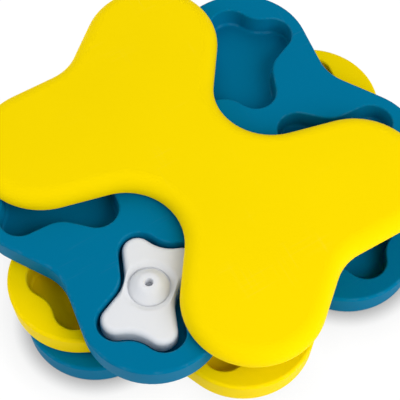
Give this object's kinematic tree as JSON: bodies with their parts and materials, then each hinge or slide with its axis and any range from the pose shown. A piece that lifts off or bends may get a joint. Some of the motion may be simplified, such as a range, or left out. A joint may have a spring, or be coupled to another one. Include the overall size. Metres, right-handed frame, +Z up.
{
  "type": "dog puzzle feeder toy",
  "caption": "Stack of bone-shaped layers that turn on one post over treat pockets, with a plain cover on top and a loose bone insert that lifts out by its knob.",
  "frame": {"origin": "on the table plane under the rubber feet, on the axis that every layer turns on", "axes": "+Z up along the turning axis; +Y away from the front, +X to the right, as the toy is seen with its loose insert at front left"},
  "size_m": [0.298, 0.2932, 0.0805],
  "materials": {
    "blue_plastic": "semi-gloss moulded plastic",
    "yellow_plastic": "semi-gloss moulded plastic",
    "white_plastic": "glossy moulded plastic",
    "grey_plastic": "fine matt moulded plastic",
    "natural_plastic": "smooth slippery plastic",
    "steel": "zinc-plated steel",
    "rubber": "matt rubber"
  },
  "bodies": {
    "base": {"base_tier": "blue_plastic", "foot_pads": "rubber", "glide_washer_lower": "natural_plastic"},
    "middle": {"middle_tier": "yellow_plastic", "glide_washer_middle": "natural_plastic"},
    "upper": {"upper_tier": "blue_plastic", "glide_washer_upper": "natural_plastic"},
    "cover": {"top_cover": "yellow_plastic", "center_post": "grey_plastic", "post_screw": "steel", "screw_washer": "steel", "hub_cap": "grey_plastic"},
    "insert": {"bone_insert": "white_plastic"}
  },
  "joints": [
    {"name": "middle_turn", "type": "hinge", "parent": "base", "child": "middle", "pos_m": [0, 0, 0.02175], "axis": [0, 0, 1], "continuous": true},
    {"name": "upper_turn", "type": "hinge", "parent": "middle", "child": "upper", "pos_m": [0, 0, 0.044], "axis": [0, 0, 1], "continuous": true},
    {"name": "cover_turn", "type": "hinge", "parent": "upper", "child": "cover", "pos_m": [0, 0, 0.06625], "axis": [0, 0, 1], "continuous": true},
    {"name": "insert_lift", "type": "slide", "parent": "upper", "child": "insert", "axis": [0, 0, 1], "range_m": [0, 0.004]}
  ]
}
